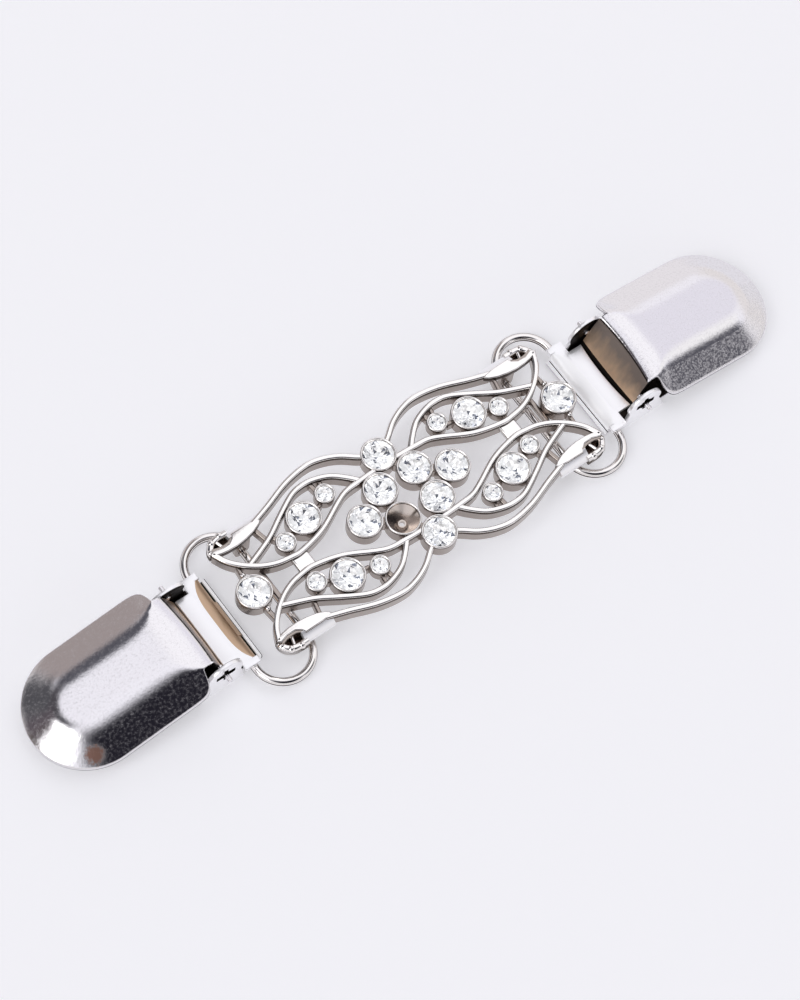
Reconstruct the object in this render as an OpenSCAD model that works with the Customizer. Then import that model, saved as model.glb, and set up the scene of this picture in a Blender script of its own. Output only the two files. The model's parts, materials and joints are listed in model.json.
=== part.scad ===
// Shawl clasp: a pierced, stone-set ornament held between two lever clips by two wire loops.
// The clasp lies on a table at z = 0, its length runs along X, and everything is in millimetres.

/* [Ornament] */
// Height of the cup rims above the table
orn_top = 5.6; // [5.4:0.1:6.4]
// Width of the ornament's wires
wire_w = 0.85; // [0.7:0.05:0.95]
// Height of the ornament's wires
wire_h = 2.4; // [1.8:0.1:2.5]
// How far the wires lie below the cup rims
wire_drop = 0.15; // [0.1:0.05:0.4]
// Width of the small struts between cups and wires
strut_w = 0.7; // [0.5:0.05:0.8]

/* [Cups and stones] */
// Outer diameter of the large cups
cup_d = 5.3; // [5.1:0.05:5.4]
// Outer diameter of the small cups
small_cup_d = 3.1; // [2.9:0.05:3.3]
// Wall of a cup at its rim
cup_wall = 0.33; // [0.25:0.01:0.4]
// Height of the large cups
cup_h = 2.6; // [2.2:0.1:2.8]
// Height of the small cups
small_cup_h = 2; // [1.7:0.1:2.2]
// Gap between a stone and its cup
stone_gap = 0.04; // [0.02:0.01:0.08]

/* [Wire loops] */
// Diameter of the loop wire
ring_wire = 1.2; // [1.1:0.05:1.3]
// Distance between the two straight bars of a loop
ring_span = 8.8; // [8.6:0.1:9.2]
// Length of a loop over its round ends
ring_length = 26.2; // [25.4:0.1:26.6]
// How far each loose loop has slid along its bars
ring_shift = 0.3; // [0:0.1:0.3]
// Distance from the middle of the clasp to the bar held by the ornament
ring_x = 23.6; // [23.3:0.1:23.8]

/* [Clips] */
// Thickness of the sheet metal
sheet = 0.6; // [0.5:0.05:0.65]
// Width of the base plate over its ears
base_w = 14.1; // [13.8:0.1:14.4]
// Width across the tabs of the folded flap
flap_w = 16.2; // [15.8:0.1:16.6]
// Width of the flap between the ears
tongue_w = 11.9; // [11.4:0.1:12.2]
// Height of the hinge axis above the table
pivot_z = 4.6; // [4.5:0.1:4.8]
// Radius of the round top of an ear
ear_r = 2.6; // [2.4:0.1:2.8]
// Diameter of the hinge stubs
stub_d = 1; // [0.9:0.05:1.1]

/* [Covers] */
// Width of a cover over its rim
cover_w = 18.6; // [18.2:0.1:19]
// Width of the flat top of a cover
plateau_w = 9.2; // [8.8:0.1:9.6]
// Height of the flat top above the hinge axis, square to the cover
plateau_h = 4.2; // [4:0.1:4.4]
// Drop from the flat top to the rim
bevel_drop = 2.4; // [2.1:0.1:2.6]
// Height of the upright rim below the bevel
rim_h = 0.5; // [0.3:0.1:0.7]
// Slope of a closed cover, nose down, in degrees
cover_slope = 9.5; // [8.5:0.5:10]
// Width of the neck between the ears
neck_w = 12.3; // [12:0.1:12.4]

/* [Hidden] */
bar_z = ring_wire / 2 + sheet + 0.05;
fit_gap = 0.05;
wire_top = orn_top - wire_drop;
stone_d = cup_d - 2 * cup_wall - 2 * stone_gap;
small_stone_d = small_cup_d - 2 * cup_wall - 2 * stone_gap;

// Centres of the cups, as [x, y]: in a quarter of the ornament, the others follow by mirroring
tall_cup = [0, 7.3];
wide_cup = [7.78, 0];
inner_cup = [3.04, 2.74];
end_cup = [27, 0];
leaf_cups = [[10, 6.68], [14.68, 5.31], [18.9, 3.67]];

// Routes of the wires in a quarter of the ornament, as [x, y]
outer_route = [[1.5, 8], [2.8, 8.85], [4.8, 10.35], [7.2, 11.4], [9.8, 11.8], [13.6, 11.2], [17.7, 9.75], [21, 8.7]];
arc_route = [[4.4, 5.4], [5.7, 6.85], [7.65, 8.5], [10, 9.4], [12, 9.6], [14, 9.2], [17, 7.6], [20.1, 5.75],
    [22.4, 4.75], [25.2, 3.7]];
inner_route = [[1.8, 5.65], [5, 5.5], [7.3, 5.3], [9.3, 4.5], [13.5, 2.4], [17.7, 1.4], [19.8, 1.45], [21.9, 1.85],
    [24, 2.8], [26, 4.3], [27.5, 6], [28.4, 7.9]];

// Struts in a quarter, each from one [x, y] to another
struts = [
    [[9.5, 7.6], [9.3, 9.2]],
    [[10.5, 7.6], [10.7, 9.6]],
    [[10, 6], [13, 5.6]],
    [[15.4, 7], [16, 8.2]],
    [[13.6, 3.6], [13.2, 2.4]],
    [[16, 4.8], [18.2, 4]],
    [[19, 3], [18.9, 1.3]],
    [[19.4, 4.6], [20, 5.8]],
    [[20.7, 5.5], [21.4, 8.6]],
    [[26.9, 2], [26.6, 5]],
];

// Where the ornament holds a loop: the flange in plan, its apron and its hook
flange_outline = [[19.9, 8.5], [20.2, 8.9], [21.8, 9.05], [24.6, 9.1], [24.9, 8.5], [25.7, 8], [27, 7.95],
    [28.3, 8.4], [28.9, 7.95], [28.5, 7.5], [27.4, 7.2], [26.4, 7.05], [24.8, 7], [23.3, 7.15], [21.7, 7.5], [20.5, 8]];
hook_route = [[28.35, 7.9], [28.2, 8.8], [27.6, 9.5], [26.6, 9.85], [24.8, 9.85]];
hook_w = 0.9;
apron_x = [20.2, 25.2];
apron_y = [8.7, 10.1];
apron_w = 0.4;
apron_drop = 1.1;
apron_h = 0.9;
hook_top = 4.8;
hook_h = 1.3;
flange_h = 1.2;
lug_y = 7.7;
lug_w = 0.7;
lug_r = bar_z;

// Bars across the middle of the ornament, as [x, width along X, reach along Y, underside above the wires' bottom]
low_bars = [[18.4, 2.8, 1.5, 1.1], [24, 0.8, 2.9, 0]];
low_bar_h = 0.8;

// Solder between touching cups, below their rims
solder_w = 1.2;
solder_drop = 0.5;

// A clip, along its own length from the middle of the clasp outwards
clip_bar_x = ring_x + ring_span;
flap_z = bar_z + ring_wire / 2 + fit_gap;
lip_x = 30.2;
lip_h = 1;
lip_w = 0.45;
tab_x = [31.4, 34];
tongue_end = 36.1;
roll_w = 14;
slot_y = [3.1, 6.7];
slot_h = 0.5;
pivot_x = 37.25;
ear_foot = [33.9, 41.4];
ear_slot = [2.8, 0.7];
floor_end = 60.5;
floor_r = 5.2;
floor_taper_x = 50;
stub_gap = 0.08;
stub_out = 8.6;

// A cover, in its own frame: u outwards and w upwards from the hinge axis
rim_w = plateau_h - bevel_drop;
shoulder_rows = [
    // plateau u, plateau half width, plateau w, rim u, rim half width, rim w, way inwards at the rim
    [2.3, 6, 3.74, 2.3, 6.45, 3.5, 0.9, 0.4],
    [2.8, 5.8, 3.84, 2.6, 7.6, 2.95, 0.9, 0.5],
    [3.5, 5.45, 3.98, 3.1, 8.55, 2.3, 0.7, 0.7],
    [4.6, 5.1, plateau_h - 0.05, 4.1, 9.15, rim_w, 0.3, 0.95],
    [6.2, plateau_w / 2 + 0.2, plateau_h, 5.8, cover_w / 2, rim_w, 0, 1],
    [8.2, plateau_w / 2, plateau_h, 8.2, cover_w / 2, rim_w, 0, 1],
];
nose_u = 17.85;
nose_steps = 18;
plateau_inset = 0.3;
neck_profile = [[2.8, 3.84], [2.2, 3.72], [1.3, 3.5], [0.75, 3.15], [0.42, 2.6], [-0.6, -3.2], [0.05, -3.2], [1.05, 2.3],
    [1.4, 2.75], [2.2, 3.05], [2.8, 3.2]];

// Names of the sub-parts
SIDES = ["left", "right"];
big_places = concat(
    [for (s = [1, -1]) [tall_cup.x, s * tall_cup.y]],
    [for (s = [1, -1]) [s * wide_cup.x, 0]],
    [inner_cup, [-inner_cup.x, inner_cup.y], [inner_cup.x, -inner_cup.y]]
);
empty_place = [-inner_cup.x, -inner_cup.y];
end_places = [[-end_cup.x, 0], [end_cup.x, 0]];
leaf_names = ["left_upper", "left_lower", "right_upper", "right_lower"];
leaf_signs = [[-1, 1], [-1, -1], [1, 1], [1, -1]];
leaf_stone_names = ["inner", "middle", "outer"];

function centre_stone(i) = str("stone_centre_", i + 1);
function end_stone(i) = str("stone_end_", SIDES[i]);
function leaf_stone(leaf, i) = str("stone_", leaf_names[leaf], "_", leaf_stone_names[i]);
function side_node(base, i) = str(base, "_", SIDES[i]);

function in_leaf(leaf, i) = [leaf_signs[leaf].x * leaf_cups[i].x, leaf_signs[leaf].y * leaf_cups[i].y];

$fn = 48;

// A smooth curve through the points of a route, with a number of steps between two of them
function blend(a, b, c, d, t) =
    0.5 * (2 * b + (c - a) * t + (2 * a - 5 * b + 4 * c - d) * t * t + (3 * b - a - 3 * c + d) * t * t * t);
function at(route, i) = route[max(0, min(len(route) - 1, i))];
function smooth(route, steps = 4) = concat(
    [for (i = [0 : len(route) - 2]) for (k = [0 : steps - 1])
        blend(at(route, i - 1), route[i], route[i + 1], at(route, i + 2), k / steps)],
    [route[len(route) - 1]]
);

// The outline of a strip of even width along a line of points
function unit(v) = v / norm(v);
function side_of(line, i) = let (v = unit(at(line, i + 1) - at(line, i - 1))) [-v.y, v.x];
function strip(line, w) = concat(
    [for (i = [0 : len(line) - 1]) line[i] + side_of(line, i) * w / 2],
    [for (i = [len(line) - 1 : -1 : 0]) line[i] - side_of(line, i) * w / 2]
);

module quarters() {
    for (sx = [0, 1]) for (sy = [0, 1]) mirror([sx, 0, 0]) mirror([0, sy, 0]) children();
}

module wires_in_plan() {
    quarters() {
        polygon(strip(smooth(outer_route), wire_w));
        polygon(strip(smooth(arc_route), wire_w));
        polygon(strip(smooth(inner_route), wire_w));
        for (s = struts) polygon(strip(s, strut_w));
    }
}

// The round wall of a cup
module cup_body(d, h) {
    translate([0, 0, orn_top - h]) cylinder(d = d, h = h);
}

// The hollow of a cup: a short straight mouth, a cone for the stone, and a small hole through the bottom
module cup_hollow(d, h) {
    mouth = d / 2 - cup_wall;
    girdle = orn_top - 0.45;
    bottom = orn_top - h + 0.35;
    translate([0, 0, girdle]) cylinder(r = mouth, h = 1);
    translate([0, 0, bottom]) cylinder(r1 = d / 9, r2 = mouth, h = girdle - bottom);
    translate([0, 0, orn_top - h - 0.5]) cylinder(r = d / 15, h = h);
}

module big_cup_places() {
    for (p = concat(big_places, [empty_place], end_places)) translate(p) children();
    for (s = leaf_signs) translate([s.x * leaf_cups[1].x, s.y * leaf_cups[1].y]) children();
}

module small_cup_places() {
    for (s = leaf_signs) for (i = [0, 2]) translate([s.x * leaf_cups[i].x, s.y * leaf_cups[i].y]) children();
}

// What holds a loop at one corner: a flange, a slanted apron outside it, a hook at the tip and a drilled lug
module loop_holder() {
    translate([0, 0, wire_top - flange_h]) linear_extrude(flange_h) polygon(flange_outline);
    hull() for (i = [0, 1]) translate([apron_x[0], apron_y[i] - i * apron_w, wire_top - apron_h - i * apron_drop])
        cube([apron_x[1] - apron_x[0], apron_w, apron_h]);
    translate([0, 0, hook_top - hook_h]) linear_extrude(hook_h) polygon(strip(smooth(hook_route), hook_w));
    translate([ring_x - lug_r, lug_y - lug_w / 2, bar_z]) cube([2 * lug_r, lug_w, wire_top - flange_h / 2 - bar_z]);
    translate([ring_x, lug_y, bar_z]) rotate([90, 0, 0]) cylinder(r = lug_r, h = lug_w, center = true);
}

module ornament_frame() {
    color("lightgray") difference() {
        union() {
            translate([0, 0, wire_top - wire_h]) linear_extrude(wire_h) wires_in_plan();
            quarters() loop_holder();
            for (s = [-1, 1]) for (b = low_bars)
                translate([s * b[0] - b[1] / 2, -b[2], wire_top - wire_h + b[3]]) cube([b[1], 2 * b[2], low_bar_h]);
            translate([0, 0, orn_top - cup_h]) linear_extrude(cup_h - solder_drop) quarters() {
                polygon(strip([inner_cup, tall_cup], solder_w));
                polygon(strip([inner_cup, wide_cup], solder_w));
                polygon(strip([inner_cup, [inner_cup.x, 0]], solder_w));
            }
            big_cup_places() cup_body(cup_d, cup_h);
            small_cup_places() cup_body(small_cup_d, small_cup_h);
        }
        big_cup_places() cup_hollow(cup_d, cup_h);
        small_cup_places() cup_hollow(small_cup_d, small_cup_h);
        for (s = [-1, 1]) translate([s * ring_x, 0, bar_z])
            rotate([90, 0, 0]) cylinder(d = ring_wire + 2 * fit_gap, h = 2 * lug_y + 3 * lug_w, center = true);
    }
}

// A cut stone: a table, a crown, a thin girdle and a pointed pavilion
module stone(d, place) {
    girdle = orn_top - 0.33;
    crown_h = 0.15 * d;
    pavilion_h = 0.36 * d;
    color("white", 0.6) translate([place.x, place.y, girdle]) hull() {
        translate([0, 0, crown_h - 0.02]) rotate(22.5) cylinder(d = 0.6 * d, h = 0.02, $fn = 8);
        rotate(11.25) cylinder(d = d, h = 0.1, $fn = 16);
        translate([0, 0, -pavilion_h]) cylinder(d = 0.16 * d, h = 0.02, $fn = 8);
    }
}

// A loop of round wire: two straight bars along Y, joined by two half circles
module wire_loop(side) {
    bend_r = ring_span / 2;
    bend_y = ring_length / 2 - ring_wire / 2 - bend_r;
    color("silver") translate([side * (ring_x + bend_r), side * ring_shift, bar_z]) {
        for (s = [-1, 1]) {
            translate([s * bend_r, 0, 0]) rotate([90, 0, 0]) cylinder(d = ring_wire, h = 2 * bend_y, center = true);
            translate([0, s * bend_y, 0]) rotate(s > 0 ? 0 : 180)
                rotate_extrude(angle = 180) translate([bend_r, 0]) circle(d = ring_wire);
        }
    }
}

// The side view of an ear: a round top over a foot, joined by straight edges that touch the circle
function touch(p, c, r, s) = let (d = norm(p - c), a = acos(r / d), b = atan2(p.y - c.y, p.x - c.x))
    c + r * [cos(b + s * a), sin(b + s * a)];
module ear_in_side_view() {
    c = [pivot_x, pivot_z];
    feet = [[ear_foot[0], 0], [ear_foot[1], 0]];
    polygon([feet[0], feet[1], touch(feet[1], c, ear_r, 1), c, touch(feet[0], c, ear_r, -1)]);
    translate(c) circle(r = ear_r);
}

module clip_ears() {
    for (s = [-1, 1]) difference() {
        translate([0, s * (base_w - sheet) / 2, 0]) rotate([90, 0, 0])
            linear_extrude(sheet, center = true) ear_in_side_view();
        translate([pivot_x, s * base_w / 2, pivot_z]) rotate([90, 0, 0])
            cylinder(d = stub_d + 2 * stub_gap, h = 4 * sheet, center = true);
        translate([pivot_x, s * base_w / 2, pivot_z]) cube([ear_slot[0], 4 * sheet, ear_slot[1]], center = true);
    }
}

// The flap over the loop's bar, with a tab at each side and a tongue between the ears
module folded_flap() {
    translate([clip_bar_x, -roll_w / 2, flap_z]) cube([tab_x[1] - clip_bar_x, roll_w, sheet]);
    translate([clip_bar_x, -tongue_w / 2, flap_z]) cube([tongue_end - clip_bar_x, tongue_w, sheet]);
    for (s = [-1, 1]) translate([tab_x[0], s * (flap_w + tongue_w) / 4 - (flap_w - tongue_w) / 4, flap_z])
        cube([tab_x[1] - tab_x[0], (flap_w - tongue_w) / 2, sheet]);
}

// The sheet rolled around the loop's bar, open below at each side of its middle
module roll() {
    inner = ring_wire / 2 + fit_gap;
    difference() {
        translate([clip_bar_x, 0, bar_z]) rotate([90, 0, 0]) cylinder(r = inner + sheet, h = roll_w, center = true);
        translate([clip_bar_x, 0, bar_z]) rotate([90, 0, 0]) cylinder(r = inner, h = roll_w + 1, center = true);
        translate([clip_bar_x, -roll_w, -1]) cube([5, 2 * roll_w, 6]);
        for (s = [-1, 1])
            translate([clip_bar_x - 2, s * (slot_y[0] + slot_y[1]) / 2 - (slot_y[1] - slot_y[0]) / 2, sheet])
                cube([2, slot_y[1] - slot_y[0], slot_h]);
    }
}

module base_floor() {
    linear_extrude(sheet) {
        translate([lip_x, -base_w / 2]) square([floor_taper_x - lip_x, base_w]);
        polygon([[floor_taper_x, -base_w / 2], [floor_end - floor_r, -floor_r], [floor_end - floor_r, floor_r],
            [floor_taper_x, base_w / 2]]);
        translate([floor_end - floor_r, 0]) circle(r = floor_r);
    }
}

module clip_base(side) {
    color("gainsboro") rotate(side > 0 ? 0 : 180) {
        base_floor();
        translate([lip_x, -base_w / 2, 0]) cube([lip_w, base_w, lip_h]);
        roll();
        folded_flap();
        clip_ears();
    }
}

// One row of the cover's skin, across the cover: six points outside, then six points inside.
// The way inwards is (in_u, in_v) at the side with positive v.
function skin_row(pu, pv, pw, ru, rv, rw, in_u, in_v) = [
    [ru, rv, rw - rim_h], [ru, rv, rw], [pu, pv, pw], [pu, -pv, pw], [ru, -rv, rw], [ru, -rv, rw - rim_h],
    [ru + sheet * in_u, -rv + sheet * in_v, rw - rim_h],
    [ru + sheet * in_u, -rv + sheet * in_v, rw - sheet / 4],
    [pu + plateau_inset * in_u, -pv + plateau_inset * in_v, pw - sheet],
    [pu + plateau_inset * in_u, pv - plateau_inset * in_v, pw - sheet],
    [ru + sheet * in_u, rv - sheet * in_v, rw - sheet / 4],
    [ru + sheet * in_u, rv - sheet * in_v, rw - rim_h]
];
function nose_row(a) = skin_row(
    nose_u + plateau_w / 2 * sin(a), plateau_w / 2 * cos(a), plateau_h,
    nose_u + cover_w / 2 * sin(a), cover_w / 2 * cos(a), rim_w, -sin(a), cos(a)
);
skin_rows = concat(
    [for (r = shoulder_rows) skin_row(r[0], r[1], r[2], r[3], r[4], r[5], r[6], r[7])],
    [for (i = [0 : nose_steps]) nose_row(i * 87 / nose_steps)]
);

// The cover's skin: two triangles for every four-sided face
module cover_skin() {
    n = 12;
    last = (len(skin_rows) - 1) * n;
    sides = [for (r = [0 : len(skin_rows) - 2]) for (k = [0 : n - 1])
        let (a = r * n + k, b = r * n + (k + 1) % n) [a, a + n, b + n, b]];
    start = [[0, 1, 10, 11], [1, 2, 9, 10], [2, 3, 8, 9], [3, 4, 7, 8], [4, 5, 6, 7]];
    front = [for (f = [[0, 5, 4, 1], [1, 4, 3, 2], [11, 10, 7, 6], [10, 9, 8, 7], [0, 11, 6, 5]]) [for (k = f) last + k]];
    faces = [for (f = concat(sides, start, front)) for (t = [[f[0], f[1], f[2]], [f[0], f[2], f[3]]]) t];
    polyhedron(points = [for (row = skin_rows) for (p = row) p], faces = faces, convexity = 6);
}

module clip_cover(side) {
    color("whitesmoke") rotate(side > 0 ? 0 : 180) translate([pivot_x, 0, pivot_z]) {
        rotate([0, cover_slope, 0]) {
            cover_skin();
            rotate([90, 0, 0]) linear_extrude(neck_w, center = true) polygon(neck_profile);
        }
        for (s = [-1, 1]) translate([0, s * (neck_w / 2 - 0.3 + stub_out) / 2, 0])
            rotate([90, 0, 0]) cylinder(d = stub_d, h = stub_out - neck_w / 2 + 0.3, center = true);
    }
}

ornament_frame();
for (i = [0 : len(big_places) - 1])
    stone(stone_d, big_places[i]);
for (i = [0, 1])
    stone(stone_d, end_places[i]);
for (leaf = [0 : 3]) for (i = [0 : 2])
    stone(i == 1 ? stone_d : small_stone_d, in_leaf(leaf, i));
for (i = [0, 1]) {
    wire_loop(i == 0 ? -1 : 1);
    clip_base(i == 0 ? -1 : 1);
    clip_cover(i == 0 ? -1 : 1);
}
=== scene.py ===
"""Looks of the shawl clasp: plated metal, cut stones, pale table, soft light. Sizes are in millimetres."""

import json
import math

import bmesh
import bpy
from mathutils import Matrix, Vector


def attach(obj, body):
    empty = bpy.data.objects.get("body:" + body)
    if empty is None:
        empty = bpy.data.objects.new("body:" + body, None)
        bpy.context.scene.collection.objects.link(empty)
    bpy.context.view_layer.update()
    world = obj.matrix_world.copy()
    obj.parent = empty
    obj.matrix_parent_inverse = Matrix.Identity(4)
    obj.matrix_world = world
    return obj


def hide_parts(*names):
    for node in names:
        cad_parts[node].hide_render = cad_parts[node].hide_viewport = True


MM = 0.001
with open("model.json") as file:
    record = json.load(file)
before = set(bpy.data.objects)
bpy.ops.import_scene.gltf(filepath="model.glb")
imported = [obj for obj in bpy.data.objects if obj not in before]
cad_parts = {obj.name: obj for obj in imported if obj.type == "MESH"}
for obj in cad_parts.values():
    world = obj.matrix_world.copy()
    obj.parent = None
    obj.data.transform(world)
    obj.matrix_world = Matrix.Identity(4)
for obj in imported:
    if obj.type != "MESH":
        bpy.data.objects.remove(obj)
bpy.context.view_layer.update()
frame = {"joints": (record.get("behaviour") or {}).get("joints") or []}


def joint_place(name):
    """Where a joint of the frame is, as (x, z)."""
    x, _, z = next(joint["pos_m"] for joint in frame["joints"] if joint["name"] == name)
    return x / MM, z / MM


# Sizes of the ornament
RIM_Z = 5.6
WIRE_TOP = RIM_Z - 0.15
WIRE_W, WIRE_H = 0.86, 2.4
WIRE_LOW = WIRE_TOP - WIRE_H
CUP_R, SMALL_CUP_R, CUP_WALL = 2.65, 1.55, 0.33
CUP_H, SMALL_CUP_H = 2.6, 2.0
SEAT_DEPTH, RIM_ROUND = 0.45, 0.2
# From the seat to the foot of a cup's hole: radius as a share of the cup's, and height over the foot
CUP_HOLE = [(0.24, 0.36), (0.225, 0.5), (0.15, 0.5), (0.13, 0.3), (0.13, 0)]
STONE_R, SMALL_STONE_R = 2.28, 1.18
STRUT_W, WEB_W, WEB_DROP, WEB_HALF, WEB_SPAN = 0.7, 1.2, 0.6, 0.3, (0.46, 0.54)
BRIDGE_X, BRIDGE_HALF, BRIDGE_Z = (17, 19.8), 1.5, (WIRE_LOW + 1.1, WIRE_LOW + 1.9)
LOW_BAR_X, LOW_BAR_HALF, LOW_BAR_W, LOW_BAR_Z = 24, 2.9, 0.8, (3.05, 3.85)

# Sizes of the loops; a loop turns about its inner bar in the ornament, and a clip about the outer bar
RING_X, BAR_Z = joint_place("loop_right_swing")
BAR_X = joint_place("clip_right_swing")[0]
RING_LENGTH, RING_R, RING_SHIFT = 26.19, 0.6, 0.3
# Where the painted shade along a loop's wire starts and ends, as a height over its middle in radii
LOOP_PAINTED_SHADE_START, LOOP_PAINTED_SHADE_STOP = -0.75, 0.3

# Sizes of the clips, which are modelled at the right end; where left and right differ, each has a value
SIDES = {-1: "left", 1: "right"}
SHEET, ROLL_SHEET = 0.6, 0.35
PIVOT = joint_place("cover_right_lift")
HALF_BASE = 7.05
FLOOR_TAPER_X, FLOOR_END, FLOOR_R = 50, 60.5, 5.2
# Where the floor inside and the gap before the roll get black painted shade
FLOOR_PAINTED_SHADE_X, GAP_PAINTED_SHADE_END = (31.2, 44), {-1: 31.9, 1: 31.4}
LIP_FRONT, LIP_BACK, LIP_TOP = {-1: 30.4, 1: 30.85}, {-1: 30.94, 1: 31.27}, 1.0
ROLL_START, ROLL_FRONT, ROLL_HALF, ROLL_TOP = 33.6, 31.4, 7, 2.5
SLOT_Y, SLOT_TURN = (3.1, 6.7), 142
# The strip in front of the left roll, tan with painted reflection, and its section as (sideways, z)
STRIP_X, STRIP_HALF = 31.5, 3.05
STRIP = [(0.42, 0.6), (-0.24, 0.6), (-0.24, 1.7), (-0.35, 2.12), (0.32, 1.45), (0.42, 1.3)]
TAB_X, TAB_Y, TONGUE_Y = (31.4, 34), 8.1, 5.95
# Where the flap's underside gets black painted shade
UNDERSIDE_X, UNDERSIDE_HALF = (32.6, 35.2), 6.8
TONGUE_END, TONGUE_BOW = {-1: 36.2, 1: 36.25}, {-1: 0.05, 1: 0.4}
EAR_R, LOW_EAR_R, EAR_WIDER = 2.6, 1.7, 1.12
EAR_FOOT = (33.9, 41.4)
EAR_Y, NEAR_EAR_Y = 6.75, 7.4
HOLE_R, CROSS, STUB_BORE_R = {-1: 0.8, 1: 0.98}, ((1.5, 0.5), (0.28, 1.5)), 0.47
STUB_R, STUB_START, STUB_END, NEAR_STUB_END = 0.38, 6.1, 8.3, 8.85
FLAT_HALF, FLAT_W = 4.6, 4.2
COVER_HALF, COVER_W = 9.3, 1.8
SKIRT = 0.65
NOSE_U = 17.85
SLOPE = math.radians(9.5)

# Middles of the cups; leaf cups are in one quarter, from the inside out
TALL_CUP, WIDE_CUP, INNER_CUP, END_CUP = (0, 7.3), (7.78, 0), (3.04, 2.74), (27.0, 0)
LEAF_CUPS = [(10, 6.68), (14.68, 5.31), (18.9, 3.67)]
BIG_PLACES = [TALL_CUP, (0, -TALL_CUP[1]), WIDE_CUP, (-WIDE_CUP[0], 0)]
BIG_PLACES += [(sx * INNER_CUP[0], sy * INNER_CUP[1]) for sx, sy in ((1, 1), (-1, 1), (1, -1))]
EMPTY_PLACE = (-INNER_CUP[0], -INNER_CUP[1])

# Middle lines of one quarter's wires and struts
OUTER_ROUTE = [
    (1.5, 8), (2.8, 8.85), (4.8, 10.35), (7.2, 11.4), (9.8, 11.8), (13.6, 11.2), (17.7, 9.75), (21, 8.7),
]
ARC_ROUTE = [
    (4.4, 5.4), (5.7, 6.85), (7.65, 8.5), (10, 9.4), (12, 9.6), (14, 9.2), (17, 7.6), (20.1, 5.75),
    (22.4, 4.75), (25.2, 3.7),
]
INNER_ROUTE = [
    (1.8, 5.65), (5, 5.5), (7.3, 5.3), (9.3, 4.5), (13.5, 2.4), (17.7, 1.4), (19.8, 1.45), (21.9, 1.85),
    (24, 2.8), (26, 4.3), (27.5, 6), (28.4, 7.9),
]
STRUTS = [
    ((9.5, 7.6), (9.3, 9.2)), ((10.5, 7.6), (10.7, 9.6)), ((10, 6), (13, 5.6)), ((15.4, 7), (16, 8.2)),
    ((13.6, 3.6), (13.2, 2.4)), ((16, 4.8), (18.2, 4)), ((19, 3), (18.9, 1.3)), ((19.4, 4.6), (20, 5.8)),
    ((20.7, 5.5), (21.4, 8.6)), ((26.9, 2), (26.6, 5)),
]

# What holds a loop, in plan; the apron's section is (sideways, z), and a blob is (x, y, radius)
FLANGE = [
    (19.9, 8.5), (20.2, 8.9), (21.8, 9.05), (24.6, 9.1), (24.9, 8.5), (25.7, 8), (27, 7.95), (28.3, 8.4),
    (28.9, 7.95), (28.5, 7.5), (27.4, 7.2), (26.4, 7.05), (24.8, 7), (23.3, 7.15), (21.7, 7.5), (20.5, 8),
]
APRON_ROUTE = [(20.1, 9.4), (20.2, 9.4), (25.1, 9.4), (25.2, 9.4)]
APRON = [
    (-0.75, 5.42), (-0.55, 5.36), (0.6, 4.5), (0.72, 4.3), (0.68, 3.75), (0.55, 3.62), (0.35, 3.7),
    (-0.75, 4.5),
]
HOOK = [(28.35, 7.9), (28.2, 8.8), (27.6, 9.5), (26.6, 9.85), (24.8, 9.85)]
HOLLOW_EDGE = [(24.7, 8.7), (25.6, 8.15), (27, 8.1), (28.2, 8.45)]
HOLLOW = [
    (24.9, 8.7), (25.7, 8.2), (27, 8.1), (28.1, 8.5), (27.9, 9.0), (27.4, 9.5), (26.6, 9.7), (25.1, 9.7),
]
HOLLOW_BAR = [(26.3, 8.0), (26.5, 8.4), (26.8, 9.4), (26.9, 9.8)]
BLOBS = [(28.35, 8.5, 0.6), (27.5, 9.65, 0.62), (25.9, 10.0, 0.6)]
BLOB_Z = 4.35
FLANGE_H = 1.2
HOOK_W, HOOK_Z = 1.1, (3.2, 4.85)
HOLLOW_W, HOLLOW_Z, HOLLOW_EDGE_Z, HOLLOW_BAR_Z = 0.5, (3.3, 3.6), (3.05, 5.25), (3.7, 4.7)
LUG_Y, LUG_HALF, BORE_R = 7.7, 0.35, 0.65

# Where a drop of solder joins the last strut to the end cup, and its radius
DROP, DROP_R = (26.8, 3.0), 0.42

# Places of the looks in the list of materials of an ornament, a clip, a loop and a stone
# Ornament looks: the walls, lines and bowls carry painted shade, and the flats a weak glow of painted light
TOP, SIDE, LINE, FLAT, BOWL_PAINTED_SHADE = range(5)
# Clip looks: the dark one is painted shade, the tan one painted reflection, and the bright and pale ones
# carry a glow of painted light
SKIN, DARK, TAN, BRIGHT_PAINTED_GLOW, PALE_PAINTED_GLOW, SPECKLED = range(6)
# Loop looks: the second is painted shade along the wire's sides
WIRE, WIRE_PAINTED_SHADE = range(2)
# Stone looks: the foil carries a glow of painted light, and the shade facets are painted dark reflection
CUT, FOIL_PAINTED_GLOW, SHADE = range(3)

ALONG_Y = Matrix.Rotation(math.radians(90), 4, "X")
QUARTERS = [Matrix.Diagonal((sx, sy, 1, 1)) for sx in (1, -1) for sy in (1, -1)]

# Radius of a turned shell where it meets its axis
ON_AXIS = 0.0001


# Shapes

def at(x, y, z=0):
    """The matrix that moves a shell to a place."""
    return Matrix.Translation((x, y, z))


def arc(centre, radius, degrees):
    """Points round a centre at some angles; radius is one number, or two for an ellipse."""
    wide, high = radius if isinstance(radius, tuple) else (radius, radius)
    turns = [math.radians(a) for a in degrees]
    return [(centre[0] + wide * math.cos(a), centre[1] + high * math.sin(a)) for a in turns]


def between(a, b, c, d, t):
    """A value between b and c, on the smooth curve through four values."""
    square, cube = 2 * a - 5 * b + 4 * c - d, 3 * b - a - 3 * c + d
    return 0.5 * (2 * b + (c - a) * t + square * t * t + cube * t ** 3)


def smooth(route, steps=6):
    """A smooth line through the points of a route."""
    points = [Vector(p) for p in route]
    last = len(points) - 1
    line = []
    for i in range(last):
        four = points[max(0, i - 1)], points[i], points[i + 1], points[min(last, i + 2)]
        line += [between(*four, k / steps) for k in range(steps)]
    return line + [points[-1]]


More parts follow.
